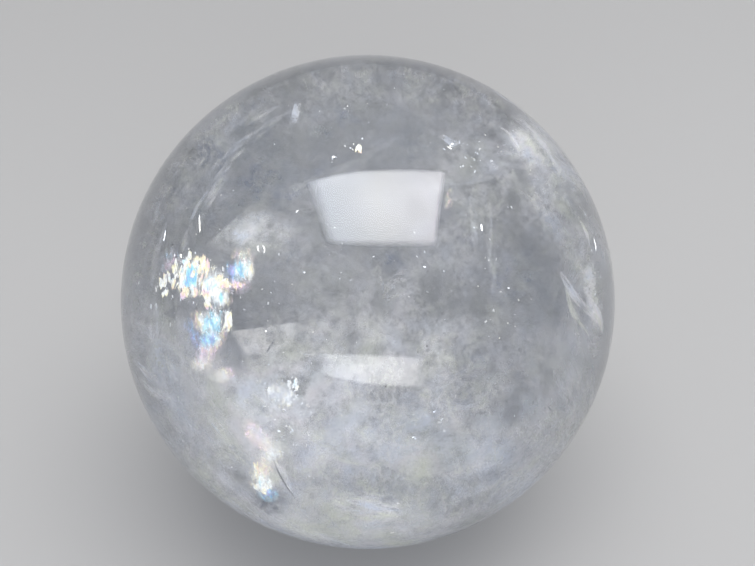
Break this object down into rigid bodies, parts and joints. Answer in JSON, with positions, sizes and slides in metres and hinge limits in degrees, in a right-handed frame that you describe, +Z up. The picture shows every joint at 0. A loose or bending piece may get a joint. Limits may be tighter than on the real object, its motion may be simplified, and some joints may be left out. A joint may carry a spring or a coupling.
{
  "type": "calcite sphere",
  "caption": "Polished sphere of cloudy, see-through calcite with inner veils and cracks, resting on a small ground flat spot.",
  "frame": {"origin": "middle of the flat spot that the sphere rests on", "axes": "+Z up, square to the flat spot and through the sphere's centre; -Y faces the camera of the reference view"},
  "size_m": [0.075, 0.075, 0.0747],
  "materials": {
    "calcite": "polished, cloudy and see-through"
  },
  "bodies": {
    "root": {"calcite_sphere": "calcite"}
  },
  "joints": []
}
